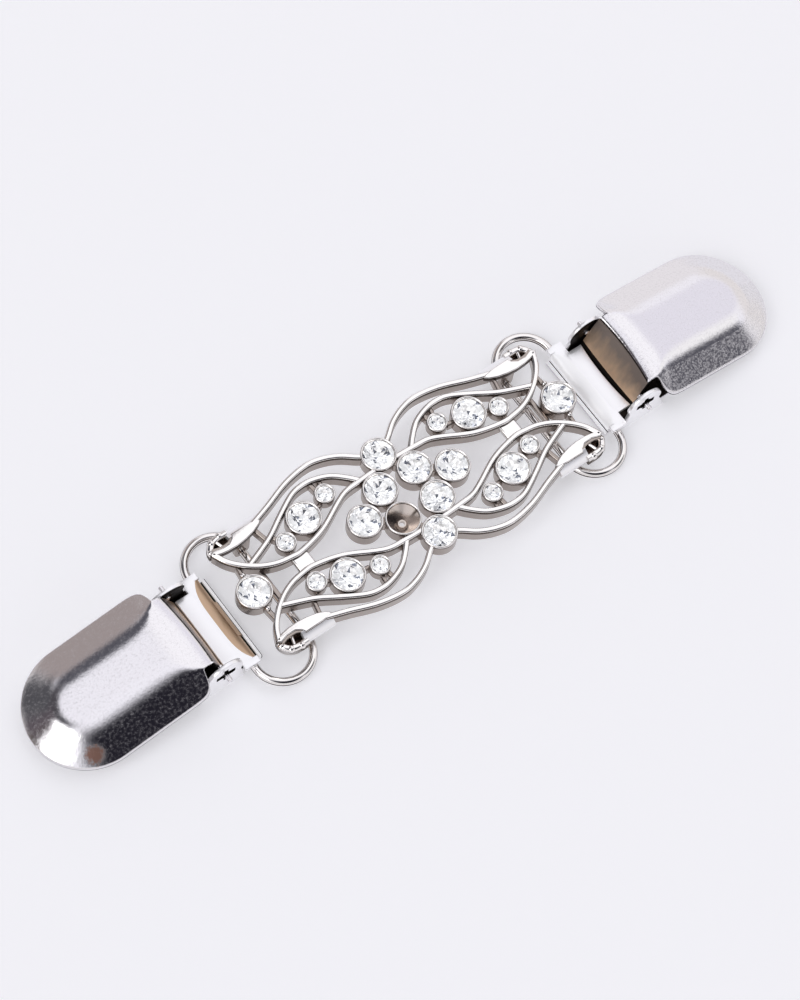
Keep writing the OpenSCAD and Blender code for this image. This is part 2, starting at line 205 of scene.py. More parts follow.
def outside_cups(line, sunk=0.12, parts=24, least=0.2):
    """The part of a line outside the cups. Its ends are sunk in the cups' walls, and no step is tiny."""
    cups = [(Vector(p), CUP_R - sunk) for p in (TALL_CUP, WIDE_CUP, INNER_CUP, END_CUP, LEAF_CUPS[1])]
    cups += [(Vector(p), SMALL_CUP_R - sunk) for p in (LEAF_CUPS[0], LEAF_CUPS[2])]
    line = [Vector(p) for p in line]

    def inside(p):
        return any((p - c).length < r for c, r in cups)

    fine = [a.lerp(b, k / parts) for a, b in zip(line, line[1:]) for k in range(parts)] + [line[-1]]
    while inside(fine[0]):
        fine.pop(0)
    while inside(fine[-1]):
        fine.pop()
    first, last = fine[0], fine[-1]
    inner = fine[1:-1:parts // 2]
    return [first] + [p for p in inner if (p - first).length > least and (p - last).length > least] + [last]


class Shape:
    """Points and faces of one piece, gathered from several closed shells."""

    def __init__(self):
        self.points, self.faces, self.looks = [], [], []

    def add(self, shell, place=Matrix.Identity(4), look=0):
        """Adds a shell of points and faces. It may have a third list, the look of each face."""
        points, faces = shell[:2]
        start = len(self.points)
        self.points += [place @ Vector(p) for p in points]
        mirrored = place.determinant() < 0
        for i, face in enumerate(faces):
            face = [start + k for k in face]
            self.faces.append(face[::-1] if mirrored else face)
            self.looks.append(shell[2][i] if len(shell) > 2 else look)
        return self

    def build(self, name, materials, body, nodes, slot, angle=32):
        """Makes the piece. angle is how far two faces may turn from each other and still look like one."""
        mesh = bpy.data.meshes.new(name)
        mesh.from_pydata([p * MM for p in self.points], [], self.faces)
        for material in materials:
            mesh.materials.append(material)
        mesh.polygons.foreach_set("material_index", self.looks)
        bm = bmesh.new()
        bm.from_mesh(mesh)
        bmesh.ops.recalc_face_normals(bm, faces=bm.faces)
        bm.to_mesh(mesh)
        bm.free()
        mesh.polygons.foreach_set("use_smooth", [True] * len(mesh.polygons))
        mesh.set_sharp_from_angle(angle=math.radians(angle))
        obj = bpy.data.objects.new(name, mesh)
        bpy.context.scene.collection.objects.link(obj)
        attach(obj, body)
        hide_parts(*nodes)


def paint_wall_shade(shell, split, low, line):
    """The same shell with painted shade: darker walls up to a split, and a dark line at their foot and under
    their top.
    """
    points, faces = shell
    looks = []
    for face in faces:
        z = sum(points[k][2] for k in face) / len(face)
        if z > split or z < low + 0.01:
            looks.append(TOP)
        else:
            looks.append(LINE if z > split - line or z < low + 0.08 else SIDE)
    return points, faces, looks


def tube_faces(rows, count, closed):
    """Faces between rows of points, each a closed loop of the same count."""
    faces = []
    for i in range(rows if closed else rows - 1):
        j = (i + 1) % rows
        for m in range(count):
            n = (m + 1) % count
            faces.append((i * count + m, i * count + n, j * count + n, j * count + m))
    return faces


def sweep(line, profile, closed=False):
    """A bar along a line of (x, y) points; profile is a closed loop of (sideways, z)."""
    n, k = len(line), len(profile)
    points = []
    for i, p in enumerate(line):
        before = line[(i - 1) % n] if closed or i > 0 else p
        after = line[(i + 1) % n] if closed or i < n - 1 else p
        way = (Vector(after) - Vector(before)).normalized()
        points += [(p[0] - way.y * s, p[1] + way.x * s, z) for s, z in profile]
    faces = tube_faces(n, k, closed)
    if not closed:
        faces += [tuple(range(k))[::-1], tuple(range((n - 1) * k, n * k))]
    return points, faces


def bar_profile(width, height, round_by, steps=6, foot=0.06):
    """The section of a wire between two heights: a bar with a rounded top and a slightly bevelled foot."""
    half = width / 2
    bottom, top = height
    below = top - round_by - 0.3
    quarter = [90 * i / steps for i in range(steps + 1)]
    loop = [(-half + foot, bottom), (half - foot, bottom), (half, bottom + foot), (half, below)]
    loop += arc((half - round_by, top - round_by), round_by, quarter)
    loop += arc((round_by - half, top - round_by), round_by, [90 + a for a in quarter])
    return loop + [(-half, below), (-half, bottom + foot)]


def lathe(profile, segments=56):
    """A turned shell around Z; profile is a closed loop of (radius, z)."""
    points = []
    for i in range(segments):
        a = 2 * math.pi * i / segments
        points += [(r * math.cos(a), r * math.sin(a), z) for r, z in profile]
    return points, tube_faces(segments, len(profile), True)


def plate(loops, low, high, round_by=0.1, steps=2):
    """A flat plate with rounded edges; the first loop is its outline, and the others are holes."""
    curve = bpy.data.curves.new("outline", "CURVE")
    curve.dimensions, curve.fill_mode = "2D", "BOTH"
    for loop in loops:
        spline = curve.splines.new("POLY")
        spline.points.add(len(loop) - 1)
        for point, (x, y) in zip(spline.points, loop):
            point.co = (x, y, 0, 1)
        spline.use_cyclic_u = True
    curve.extrude = (high - low) / 2 - round_by
    curve.bevel_depth, curve.bevel_resolution, curve.offset = round_by, steps, -round_by
    shell = read(bpy.data.objects.new("outline", curve), (low + high) / 2)
    bpy.data.curves.remove(curve)
    return shell[:2]


def box(x, y, z, round_by=0.08, steps=2):
    """A box with rounded edges; x, y and z are each its lowest and highest value."""
    return plate([[(x[0], y[0]), (x[1], y[0]), (x[1], y[1]), (x[0], y[1])]], *z, round_by, steps)


def read(obj, lift=0):
    """The points, faces and looks of a helper object, with its doubled points joined."""
    bpy.context.scene.collection.objects.link(obj)
    graph = bpy.context.evaluated_depsgraph_get()
    mesh = bpy.data.meshes.new_from_object(obj.evaluated_get(graph))
    bm = bmesh.new()
    bm.from_mesh(mesh)
    bmesh.ops.remove_doubles(bm, verts=bm.verts, dist=1e-4)
    bm.verts.index_update()
    points = [(v.co.x, v.co.y, v.co.z + lift) for v in bm.verts]
    faces = [[v.index for v in face.verts] for face in bm.faces]
    looks = [face.material_index for face in bm.faces]
    bm.free()
    bpy.data.meshes.remove(mesh)
    bpy.data.objects.remove(obj)
    return points, faces, looks


def sheet_of(rows, thickness, outside, inside, shares=None, ahead=None, joined_end=False, strips=None):
    """A bent sheet from rows of points on its outer side.

    outside and inside are the looks of its two sides, one for each row. shares says, for each row, how far
    its inner side also moves in across the sheet: 1 follows the skin all the way round, and 0 keeps the
    sheet's width. ahead gives the direction in which the sheet runs at a row, or None where its rows tell.
    joined_end says that the last row is folded on itself, so that it has no edge. strips gives other looks to
    some strips of the bare skin."""
    n, k = len(rows), len(rows[0])
    strips = strips or {}
    inner = []
    for i, row in enumerate(rows):
        for j, p in enumerate(row):
            along = rows[min(n - 1, i + 1)][j] - rows[max(0, i - 1)][j]
            if ahead and ahead[i]:
                along = ahead[i]
            over = row[min(k - 1, j + 1)] - row[max(0, j - 1)]
            normal = along.cross(over)
            if normal.length < 1e-6:
                normal = Vector((0, 0, 1))
            normal.normalize()
            normal.y *= shares[i] if shares else 1
            normal.normalize()
            inner.append(p - normal * thickness)
    points = [p for row in rows for p in row] + inner
    back = n * k
    faces, looks = [], []
    for i in range(n - 1):
        for m in range(k - 1):
            face = (i * k + m, (i + 1) * k + m, (i + 1) * k + m + 1, i * k + m + 1)
            faces += [face, tuple(back + v for v in face[::-1])]
            looks += [strips.get(m, SKIN) if outside[i] == SKIN else outside[i], inside[i]]
    edge = [(i + 1) * k for i in range(n - 2, -1, -1)] + list(range(k)) + [i * k + k - 1 for i in range(1, n)]
    if not joined_end:
        edge += [(n - 1) * k + m for m in range(k - 2, -1, -1)]
    for a, b in zip(edge, edge[1:]):
        faces.append((b, a, back + a, back + b))
        looks.append(SKIN)
    mesh = bpy.data.meshes.new("sheet")
    mesh.from_pydata(points, [], faces)
    mesh.polygons.foreach_set("material_index", looks)
    shell = read(bpy.data.objects.new("sheet", mesh))
    bpy.data.meshes.remove(mesh)
    return shell


def rod(radius, length, edge=0.1, segments=24):
    """A round rod along Z with bevelled ends, centred."""
    end = length / 2
    half = [(radius, end - edge), (radius - edge, end), (ON_AXIS, end)]
    return lathe([(r, -z) for r, z in half[::-1]] + half, segments)


def ball(radius, segments=20):
    """A small round blob around the origin."""
    return lathe([(max(ON_AXIS, r), z) for r, z in arc((0, 0), radius, range(-90, 91, 15))], segments)


# Materials

class Tree:
    """The shader nodes of a material or a world."""

    def __init__(self, owner):
        owner.use_nodes = True
        self.nodes, self.links = owner.node_tree.nodes, owner.node_tree.links

    def add(self, kind, inputs, **settings):
        """A new node with its settings and inputs."""
        node = self.nodes.new("ShaderNode" + kind)
        for key, value in settings.items():
            setattr(node, key, value)
        self.feed(node, inputs)
        return node

    def feed(self, node, inputs):
        """Gives inputs of a node a fixed value each, or the output that feeds it."""
        for key, value in inputs.items():
            if isinstance(value, bpy.types.NodeSocket):
                self.links.new(value, node.inputs[key])
            else:
                node.inputs[key].default_value = value


def principled(name, inputs):
    """A new material and its shader."""
    mat = bpy.data.materials.new(name)
    tree = Tree(mat)
    shader = tree.nodes["Principled BSDF"]
    tree.feed(shader, inputs)
    return mat, tree, shader


def metal(name, colour, roughness, grain=0, grain_size=0.5, depth=0.02, worn=None, stain=None):
    """A plated metal. grain is a fine unevenness. worn and stain are what wear() and spot() take."""
    mat, tree, shader = principled(name, {"Base Color": (*colour, 1), "Metallic": 1, "Roughness": roughness})
    if not grain:
        return mat
    place = tree.add("TexCoord", {}).outputs["Object"]
    noise = tree.add("TexNoise", {"Vector": place, "Scale": 1 / (grain_size * MM), "Detail": 6 if worn else 3,
                                  "Roughness": 0.7 if worn else 0.5}).outputs["Fac"]
    bump = tree.add("Bump", {"Height": noise, "Strength": grain, "Distance": depth * MM})
    tree.feed(shader, {"Normal": bump.outputs["Normal"]})
    if worn:
        bare = wear(tree, shader, noise, roughness, *worn)
        if stain:
            spot(tree, shader, place, noise, colour, bare, *stain)
    return mat


def wear(tree, shader, noise, roughness, dull_roughness, dull_metallic, start, full):
    """Dull specks on a metal, less metallic from where the noise reaches start to where it reaches full."""
    rough = tree.add("MapRange", {"Value": noise, "From Min": 0.5, "From Max": 0.66, "To Min": roughness,
                                  "To Max": dull_roughness})
    bare = tree.add("MapRange", {"Value": noise, "From Min": start, "From Max": full, "To Min": 1,
                                 "To Max": dull_metallic})
    tree.feed(shader, {"Roughness": rough.outputs["Result"], "Metallic": bare.outputs["Result"]})
    return bare.outputs["Result"]


def spot(tree, shader, place, noise, colour, bare, middle, radius):
    """A brown, duller spot with an uneven edge on a worn metal."""
    far = tree.add("VectorMath", {0: place, 1: [v * MM for v in middle]}, operation="DISTANCE")
    uneven = tree.add("Math", {0: noise, 1: 1.6 * radius * MM, 2: far.outputs["Value"]},
                      operation="MULTIPLY_ADD")
    fade = tree.add("MapRange", {"Value": uneven.outputs["Value"], "From Min": 1.55 * radius * MM,
                                 "From Max": 1.95 * radius * MM, "To Min": 1, "To Max": 0})
    inside = fade.outputs["Result"]
    tint = tree.add("Mix", {"Factor": inside, "A": (*colour, 1), "B": (0.33, 0.19, 0.15, 1)},
                    data_type="RGBA")
    kept = tree.add("MapRange", {"Value": inside, "To Min": 1, "To Max": 0.35})
    both = tree.add("Math", {0: kept.outputs["Result"], 1: bare}, operation="MULTIPLY")
    tree.feed(shader, {"Base Color": tint.outputs["Result"], "Metallic": both.outputs["Value"]})


def glass(name):
    """Clear cut glass."""
    inputs = {"Base Color": (1, 1, 1, 1), "Roughness": 0, "IOR": 1.62, "Transmission Weight": 1}
    return principled(name, inputs)[0]


def soft(mat, metallic, edge=None, glow=0):
    """Sets how metallic a material is, the tint of its edges and a weak glow of painted light, and returns
    it.
    """
    inputs = {"Metallic": metallic, "Emission Color": (0.97, 0.98, 1, 1), "Emission Strength": glow}
    if edge:
        inputs["Specular Tint"] = (*edge, 1)
    tree = Tree(mat)
    tree.feed(tree.nodes["Principled BSDF"], inputs)
    return mat


def paint_reflection_and_shade(mat, low, high, below, above, streak=1.1, uneven=3.2):
    """Paints reflection and shade: runs a material's colour from one at a low height to another at a high
    one, with upright streaks.
    """
    tree = Tree(mat)
    place = tree.add("TexCoord", {}).outputs["Object"]
    apart = tree.add("VectorMath", {0: place, 1: (0.2, 1, 0.45)}, operation="MULTIPLY")
    streaks = tree.add("TexNoise", {"Vector": apart.outputs["Vector"], "Scale": 1 / (streak * MM)})
    height = tree.add("SeparateXYZ", {0: place})
    moved = tree.add("Math", {0: streaks.outputs["Fac"], 1: uneven * MM, 2: height.outputs["Z"]},
                     operation="MULTIPLY_ADD")
    rise = tree.add("MapRange", {"Value": moved.outputs["Value"], "From Min": (low + uneven / 2) * MM,
                                 "From Max": (high + uneven / 2) * MM})
    mix = tree.add("Mix", {"Factor": rise.outputs["Result"], "A": (*below, 1), "B": (*above, 1)},
                   data_type="RGBA")
    tree.feed(tree.nodes["Principled BSDF"], {"Base Color": mix.outputs["Result"]})
    return mat


# Near-black painted shade for lines under wire tops, at their feet, in hollows and along the loops
PAINTED_SHADE_LINES = metal("casting_painted_shade_lines", (0.06, 0.04, 0.032), 0.3)
# Pale flat sheet with a weak glow of painted light
FLATS_PAINTED_GLOW = soft(metal("flat_sheet_painted_glow", (0.92, 0.91, 0.93), 0.28), 0.8, glow=0.07)

# The materials of the ornament, a clip, a loop and a stone, in the order of their looks
CASTING = [
    soft(metal("plated_casting", (0.93, 0.90, 0.88), 0.10, grain=0.3, grain_size=0.6), 1,
         edge=(0.04, 0.03, 0.02)),
    # Darker walls as painted shade, with grain
    metal("casting_sides_painted_shade", (0.40, 0.35, 0.32), 0.22, grain=0.4),
    PAINTED_SHADE_LINES,
    FLATS_PAINTED_GLOW,
    # Darker metal inside the cups as painted shade
    metal("casting_bowls_painted_shade", (0.6, 0.54, 0.5), 0.17),
]
CLIP = [
    metal("plated_sheet", (0.80, 0.78, 0.80), 0.09, grain=0.4, grain_size=0.44, depth=0.045,
          worn=(0.2, 0.8, 0.48, 0.75), stain=((-58.3, -6.6, 3.2), 1.5)),
    # Near-black painted shade inside the clips and in their gaps
    metal("sheet_inside_painted_shade", (0.022, 0.018, 0.016), 0.5),
    # Tan painted reflection on the left roll, its strip and the cam walls, darker higher up as painted shade
    paint_reflection_and_shade(soft(metal("tan_sheet_painted_reflection_and_shade", (0.58, 0.43, 0.30), 0.42, grain=0.4, grain_size=0.4, depth=0.03), 0.8),
           low=3.4, high=6.2, below=(0.66, 0.47, 0.32), above=(0.27, 0.225, 0.20)),
    FLATS_PAINTED_GLOW,
    # Pale, mostly diffuse sheet with a glow of painted light
    soft(metal("front_sheet_painted_glow", (0.92, 0.91, 0.93), 0.4), 0.2, glow=0.3),
    metal("worn_sheet", (0.80, 0.78, 0.80), 0.09, grain=0.4, grain_size=0.3, depth=0.045,
          worn=(0.2, 0.42, 0.43, 0.6)),
]
LOOP = [soft(metal("plated_wire", (0.88, 0.85, 0.83), 0.07), 1, edge=(0.02, 0.01, 0.01)), PAINTED_SHADE_LINES]
STONE = [
    glass("cut_glass"),
    # The stones' foil, with a glow of painted light
    soft(metal("stone_foil_painted_glow", (1, 1, 1), 0.03), 0.7, glow=0.3),
    # Dark bluish facets as painted reflection of dark surroundings
    soft(metal("stone_shade", (0.2, 0.22, 0.28), 0.03), 0.8),
]


# Ornament

def cup(radius, height):
    """A cup with a round rim, a conical seat and a small hole through its bottom."""
    top, low, mouth = RIM_Z, RIM_Z - height, radius - CUP_WALL
    loop = [(radius - 0.1, low), (radius, low + 0.1), (radius, top - SEAT_DEPTH), (radius, top - RIM_ROUND)]
    rim = [180 * i / 7 for i in range(1, 7)]
    loop += arc((radius - CUP_WALL / 2, top - RIM_ROUND), (CUP_WALL / 2, RIM_ROUND), rim)
    loop += [(mouth, top - RIM_ROUND), (mouth, top - SEAT_DEPTH)]
    loop += [(radius * share, low + rise) for share, rise in CUP_HOLE]
    # Painted shade on the outer walls and under the rim, and darker metal as painted shade inside the bowl
    points, faces, looks = paint_wall_shade(lathe(loop), top - RIM_ROUND - 0.02, low, 0.2)
    for i, face in enumerate(faces):
        if looks[i] != TOP and all(math.hypot(*points[k][:2]) < mouth + 0.01 for k in face):
            looks[i] = BOWL_PAINTED_SHADE
    return points, faces, looks


def loop_holder():
    """What holds a loop at one corner: flange, apron, hook round a hollow of black painted shade, blobs and
    drilled lug.
    """
    part = Shape()
    under = WIRE_TOP - FLANGE_H
    # Painted shade on the flange's walls and under its top
    part.add(paint_wall_shade(plate([FLANGE], under, WIRE_TOP, 0.22, 4), WIRE_TOP - 0.12, under, 0.6))
    # The apron has a weak glow of painted light
    part.add(sweep(APRON_ROUTE, APRON), look=FLAT)
    part.add(sweep(smooth(HOOK), bar_profile(HOOK_W, HOOK_Z, 0.5)))
    # Painted shade on the hollow's edge, and a black plate of painted shade fills the hollow
    part.add(sweep(smooth(HOLLOW_EDGE), bar_profile(HOLLOW_W, HOLLOW_EDGE_Z, 0.1)), look=SIDE)
    part.add(plate([HOLLOW], *HOLLOW_Z, 0.05), look=LINE)
    part.add(sweep(HOLLOW_BAR, bar_profile(HOLLOW_W, HOLLOW_BAR_Z, 0.24)))
    for x, y, radius in BLOBS:
        part.add(ball(radius), at(x, y, BLOB_Z))
    lug = arc((RING_X, BAR_Z), BAR_Z, range(180, 361, 12))
    lug += [(RING_X + BAR_Z, WIRE_TOP - 0.6), (RING_X - BAR_Z, WIRE_TOP - 0.6)]
    bore = arc((RING_X, BAR_Z), BORE_R, range(0, 360, 12))
    # Painted shade on the lug
    part.add(plate([lug, bore], -LUG_HALF, LUG_HALF, 0.06), at(0, LUG_Y) @ ALONG_Y, SIDE)
    return part


def ornament():
    """The pierced casting. The tops of wires that cross differ a little, so that no two lie in one plane."""
    part = Shape()
    wires = [bar_profile(WIRE_W, (WIRE_LOW, WIRE_TOP - drop), 0.3) for drop in (0.02, 0.04, 0)]
    strut = bar_profile(STRUT_W, (WIRE_LOW + 0.2, WIRE_TOP - 0.6), 0.25, 4)
    web = bar_profile(WEB_W, (RIM_Z - CUP_H, RIM_Z - WEB_DROP), 0.1, 2)
    low_bar = bar_profile(LOW_BAR_W, LOW_BAR_Z, 0.2, 3)
    holder = loop_holder()
    for quarter in QUARTERS:
        for route, wire in zip((OUTER_ROUTE, ARC_ROUTE, INNER_ROUTE), wires):
            bar = sweep(outside_cups(smooth(route)), wire)
            # The wires' walls and the lines under their tops carry painted shade
            part.add(paint_wall_shade(bar, WIRE_TOP - 0.19, WIRE_LOW, 0.5), quarter)
        # Struts and webs carry painted shade all over
        for line in STRUTS:
            part.add(sweep(outside_cups(line), strut), quarter, SIDE)
        for neighbour in (TALL_CUP, WIDE_CUP):
            a, b = Vector(INNER_CUP), Vector(neighbour)
            part.add(sweep([a.lerp(b, share) for share in WEB_SPAN], web), quarter, SIDE)
        part.add((holder.points, holder.faces, holder.looks), quarter)
        part.add(ball(DROP_R), quarter @ at(*DROP, WIRE_TOP - 0.45))
    for side in (1, -1):
        # The webs between the inner cups and the low bars carry painted shade all over
        part.add(sweep([(side * INNER_CUP[0], y) for y in (WEB_HALF, -WEB_HALF)], web), look=SIDE)
        bridge = sorted(side * x for x in BRIDGE_X)
        part.add(box(bridge, (-BRIDGE_HALF, BRIDGE_HALF), BRIDGE_Z, 0.32, 4))
        part.add(sweep([(side * LOW_BAR_X, y) for y in (-LOW_BAR_HALF, LOW_BAR_HALF)], low_bar), look=SIDE)
    big, small = cup(CUP_R, CUP_H), cup(SMALL_CUP_R, SMALL_CUP_H)
    for x, y in BIG_PLACES + [EMPTY_PLACE, END_CUP, (-END_CUP[0], 0)]:
        part.add(big, at(x, y))
    for quarter in QUARTERS:
        for (x, y), size in zip(LEAF_CUPS, (small, big, small)):
            part.add(size, quarter @ at(x, y))
    part.build("pierced_ornament", CASTING, "ornament", ["ornament_frame"], "cast_plated_metal")


def stone(radius):
    """A cut stone, in two lists of faces: table, stars, mains and girdle above, and its foiled back."""
    crown, table, waist = 0.30 * radius, 0.55, 0.80
    depth, low_waist, belly = 0.86 * radius, 0.3, 0.63
    upper, lower = RIM_Z - 0.28, RIM_Z - 0.38
    to_side = math.cos(math.radians(22.5))

    def ring(r, z, turn, count):
        return [(x, y, z) for x, y in arc((0, 0), r * radius, [turn + 360 * i / count for i in range(count)])]

    rings = [
        ring(table, upper + crown, 0, 8),
        ring(waist, upper + crown * (1 - waist * to_side) / (1 - table), 22.5, 8),
        ring(1, upper, 0, 16),
        ring(1, lower, 0, 16),
        ring(low_waist, lower - depth * (1 - low_waist * to_side), 22.5, 8),
        ring(belly, lower - depth * (1 - belly) * 1.12, 0, 16),
        [(0, 0, lower - depth)],
    ]
    points = [p for row in rings for p in row]
    t, w, g, h, d, m, tip = (sum(len(row) for row in rings[:i]) for i in range(7))
    front, back = [tuple(range(8))], []
    for k in range(8):
        n, p = (k + 1) % 8, (k - 1) % 8
        i, j = 2 * k + 1, (2 * k + 2) % 16
        front += [(t + k, w + k, t + n), (t + k, w + p, g + i - 1, w + k), (w + k, g + i - 1, g + i),
                  (w + k, g + i, g + j)]
        one, two, three = m + i - 1, m + i, m + j
        back += [(tip, d + k, d + p), (d + p, one, d + k), (d + k, one, two), (d + k, two, three),
                 (one, h + i - 1, two), (two, h + i - 1, h + i), (two, h + i, three), (three, h + i, h + j)]
    front += [(g + i, h + i, h + (i + 1) % 16, g + (i + 1) % 16) for i in range(16)]
    return points, front, back


def stones():
    """All the stones, each turned by another angle, with a few facets of dark painted reflection among its
    foil, which has a glow of painted light.
    """
    big, small = stone(STONE_R), stone(SMALL_STONE_R)
    places = [(f"stone_centre_{i + 1}", p, big) for i, p in enumerate(BIG_PLACES)]
    places += [("stone_end_left", (-END_CUP[0], 0), big), ("stone_end_right", END_CUP, big)]
    for side, sx in (("left", -1), ("right", 1)):
        for level, sy in (("upper", 1), ("lower", -1)):
            for part, (x, y), cut in zip(("inner", "middle", "outer"), LEAF_CUPS, (small, big, small)):
                places.append((f"stone_{side}_{level}_{part}", (sx * x, sy * y), cut))
    for i, (node, (x, y), (points, front, back)) in enumerate(places):
        place = at(x, y) @ Matrix.Rotation(math.radians(17 * i), 4, "Z")
        part = Shape().add((points, front), place, CUT)
        part.faces += back
        # A few facets are dark painted reflection; the rest are foil with a glow of painted light
        part.looks += [SHADE if (5 * k + 3 * (k // 8) + i) % 9 == 1 else FOIL_PAINTED_GLOW for k in range(len(back))]
        part.build("cut_" + node, STONE, "ornament", [node], "cut_glass", angle=2)


# Loops and clips

def wire_loop(side):
    """A closed loop of round wire, with painted shade along its sides."""
    bend = (BAR_X - RING_X) / 2
    reach = RING_LENGTH / 2 - RING_R - bend
    half_turn = [180 * i / 32 for i in range(33)]
    line = arc((0, reach), bend, half_turn) + arc((0, -reach), bend, [180 + a for a in half_turn])
    degrees = range(0, 360, 15)
    section = arc((0, 0), RING_R, degrees)
    place = at(side * (RING_X + bend), side * RING_SHIFT, BAR_Z)
    part = Shape().add(sweep(line, section, closed=True), place)
    # A band of painted shade along each side of the wire
    heights = [math.sin(math.radians(a + 7.5)) for a in degrees]
    ring = [WIRE_PAINTED_SHADE if LOOP_PAINTED_SHADE_START < height < LOOP_PAINTED_SHADE_STOP else WIRE for height in heights]
    part.looks = ring * len(line)
    name = SIDES[side]
    part.build("loop_" + name, LOOP, "loop_" + name, ["wire_loop_" + name], "plated_wire", angle=60)


def flat_end(y):
    """Where the roll's flat top starts to turn down: how far from the bar's middle, towards the clip."""
    return 1.0 - 1.3 * (abs(y) / ROLL_HALF) ** 4


def roll(part, side):
    """The rolled end that the loop runs through: flat on top, more so at its ends, with two slots below."""
    steps = 24
    # A weak glow of painted light on the flat top, tan painted reflection round the left roll and a glow of
    # painted light round the right one
    outside = [BRIGHT_PAINTED_GLOW] + [TAN if side < 0 else PALE_PAINTED_GLOW] * steps
    start_y, end_y = SLOT_Y
    stretches = [
        # From y to y, and how far the sheet goes round the bar in degrees
        (ROLL_HALF, end_y, 180),
        (end_y, start_y, SLOT_TURN),
        (start_y, -start_y, 180),
        (-start_y, -end_y, SLOT_TURN),
        (-end_y, -ROLL_HALF, 180),
    ]
    for high, low, end in stretches:
        count = max(1, round((high - low) / 0.6))
        ys = [high + (low - high) * i / count for i in range(count + 1)]
        rows = [[Vector((ROLL_START, y, ROLL_TOP + 0.002)) for y in ys]]
        for i in range(steps + 1):
            a = math.radians(end * i / steps)
            row = []
            for y in ys:
                start = BAR_X + (flat_end(y) if a < math.pi / 2 else 0)
                x = start - (start - ROLL_FRONT) * math.sin(a)
                row.append(Vector((x, y, BAR_Z + BAR_Z * math.cos(a) + (0.002 if i == 0 else 0))))
            rows.append(row)
        # The roll's inside is black painted shade
        part.add(sheet_of(rows, ROLL_SHEET, outside, [DARK] * (steps + 1)))


def base_floor(part, side):
    """The floor, with black painted shade inside, and the lip before the roll, pale with a glow of painted
    light, with a strip of tan painted reflection behind it on the left.
    """
    lip, back = LIP_FRONT[side], LIP_BACK[side]
    width, inner_width = (-HALF_BASE, HALF_BASE), (-HALF_BASE + 0.1, HALF_BASE - 0.1)
    floor = [(lip, -HALF_BASE), (FLOOR_TAPER_X, -HALF_BASE)]
    floor += arc((FLOOR_END - FLOOR_R, 0), FLOOR_R, range(-90, 91, 9))
    floor += [(FLOOR_TAPER_X, HALF_BASE), (lip, HALF_BASE)]
    part.add(plate([floor], 0, SHEET, 0.12))
    # Black painted shade on the floor inside the clip
    part.add(box(FLOOR_PAINTED_SHADE_X, inner_width, (SHEET - 0.05, SHEET + 0.02), 0.01), look=DARK)
    # The lip is pale with a glow of painted light
    part.add(box((lip + 0.05, back), width, (0.02, LIP_TOP), 0.1), look=PALE_PAINTED_GLOW)
    # Black painted shade in the gap before the roll
    part.add(box((lip + 0.4, GAP_PAINTED_SHADE_END[side]), inner_width, (0.5, 0.66), 0.01), look=DARK)
    if side < 0:
        # A line of painted shade along the lip's front
        part.add(box((lip, lip + 0.14), width, (0.02, LIP_TOP - 0.02), 0.03), look=DARK)
        # The strip's tan is painted reflection
        part.add(sweep([(STRIP_X, -STRIP_HALF), (STRIP_X, STRIP_HALF)], STRIP), look=TAN)
        strip_width = (-STRIP_HALF, STRIP_HALF)
        # A line of painted shade behind the lip
        part.add(box((back - 0.02, back + 0.14), strip_width, (0.3, LIP_TOP + 0.02), 0.02), look=DARK)


def base_flap(part, side):
    """The flap folded over the roll, with a tab at each side, a bowed end, a weak glow of painted light on
    top and a black underside of painted shade.
    """
    end, bow = TONGUE_END[side], TONGUE_BOW[side]
    tabs = [(TAB_X[0], -ROLL_HALF), (TAB_X[0], -TAB_Y), (TAB_X[1], -TAB_Y), (TAB_X[1], -TONGUE_Y)]
    ys = [TONGUE_Y * (i / 8 - 1) for i in range(17)]
    flap = tabs + [(end - bow * (1 - (y / TONGUE_Y) ** 2), y) for y in ys]
    flap += [(x, -y) for x, y in tabs[::-1]]
    flap += [(BAR_X + 0.1 + flat_end(ROLL_HALF * i / 8), ROLL_HALF * i / 8) for i in range(8, -9, -1)]
    under = ROLL_TOP - SHEET
    # The flap's top has a weak glow of painted light
    part.add(plate([flap], under, ROLL_TOP), look=BRIGHT_PAINTED_GLOW)
    width = (-UNDERSIDE_HALF, UNDERSIDE_HALF)
    # Black painted shade under the flap
    part.add(box(UNDERSIDE_X, width, (under - 0.05, under + 0.05), 0.01), look=DARK)


def base_ears(part, side):
    """Two ears with a cross-shaped hole and a black inner side of painted shade, which has only the stub's
    bore; painted shade rings the hole.
    """
    px, pz = PIVOT
    feet = [(x, 0.02) for x in EAR_FOOT]
    ears = {}
    for high in (EAR_R, LOW_EAR_R):
        ears[high] = feet + arc(PIVOT, (EAR_WIDER * EAR_R, high), range(-20, 205, 7))
    hole = []
    for a in range(0, 360, 4):
        c, s = abs(math.cos(math.radians(a))) + 1e-6, abs(math.sin(math.radians(a))) + 1e-6
        arms = [min(wide / c, high / s) for wide, high in CROSS]
        hole += arc(PIVOT, max(HOLE_R[side], *arms), [a])
    bore = arc(PIVOT, STUB_BORE_R, range(0, 360, 15))
    for sy in (-1, 1):
        near = sy * side < 0
        y = sy * (NEAR_EAR_Y if near else EAR_Y)
        ear = ears[LOW_EAR_R if side < 0 and not near else EAR_R]
        points, faces = plate([ear, hole], -SHEET / 2, SHEET / 2, 0.08)
        # Painted shade round the hole, and a weak glow of painted light on the rest of the ear
        walls = [all(math.hypot(points[k][0] - px, points[k][1] - pz) < 1.7 for k in face) for face in faces]
        part.add((points, faces, [DARK if wall else BRIGHT_PAINTED_GLOW for wall in walls]), at(0, y) @ ALONG_Y)
        # A black plate of painted shade on the ear's inner side
        part.add(plate([ear, bore], -0.01, 0.01, 0.004, 1), at(0, y - sy * SHEET / 2) @ ALONG_Y, DARK)


